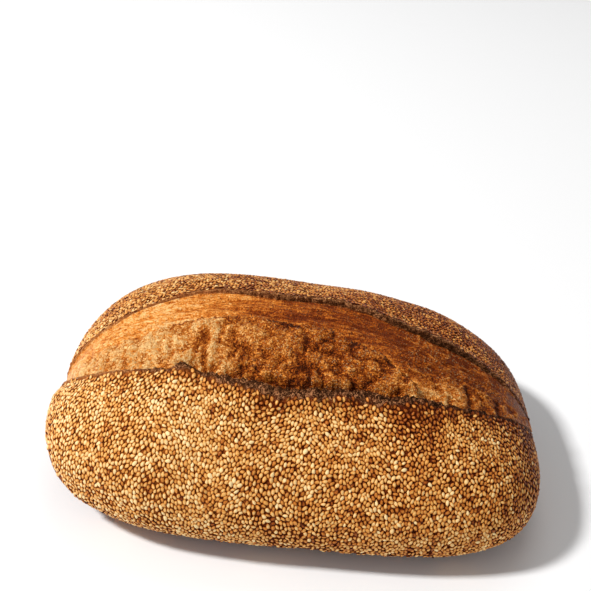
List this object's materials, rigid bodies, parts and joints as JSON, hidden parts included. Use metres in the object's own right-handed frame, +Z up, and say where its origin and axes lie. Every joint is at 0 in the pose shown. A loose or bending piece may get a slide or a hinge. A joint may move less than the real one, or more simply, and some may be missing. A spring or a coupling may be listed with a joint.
{
  "type": "sourdough loaf",
  "caption": "Large oval hearth loaf with a flat bottom, a domed top split by one long score with raised ears, and a sesame crust.",
  "frame": {"origin": "centre of the loaf's bounding box, on the plane of its flat bottom crust", "axes": "+X along the loaf towards its lower end, +Y across it towards the back flap, +Z up from the flat bottom"},
  "size_m": [0.267, 0.1992, 0.0921],
  "materials": {
    "crust": "baked bread crust, golden to dark brown, thickly covered in toasted sesame seeds"
  },
  "bodies": {
    "root": {"loaf": "crust"}
  },
  "joints": []
}
